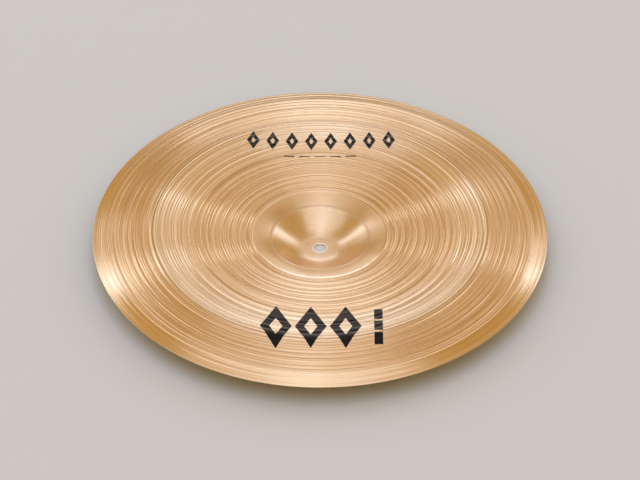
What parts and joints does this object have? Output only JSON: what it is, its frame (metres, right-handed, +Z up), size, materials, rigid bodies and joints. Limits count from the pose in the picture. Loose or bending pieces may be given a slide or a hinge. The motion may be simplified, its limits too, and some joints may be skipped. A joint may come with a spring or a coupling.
{
  "type": "china cymbal",
  "caption": "China cymbal: a thin lathed bronze disc with a small cup, a wide rising bow and a turned-back flange, clamped on a post through its centre hole.",
  "frame": {"origin": "centre of the hole, in the plane of the flat that the cup stands on", "axes": "+Z up along the hole's axis, from the cup's closed end towards its hollow side"},
  "size_m": [0.4572, 0.4572, 0.0306],
  "materials": {
    "bronze": "finely lathed bell bronze with a bright satin sheen",
    "print_ink": "thin black screen-printed ink"
  },
  "bodies": {
    "root": {"cymbal": "bronze"}
  },
  "joints": []
}
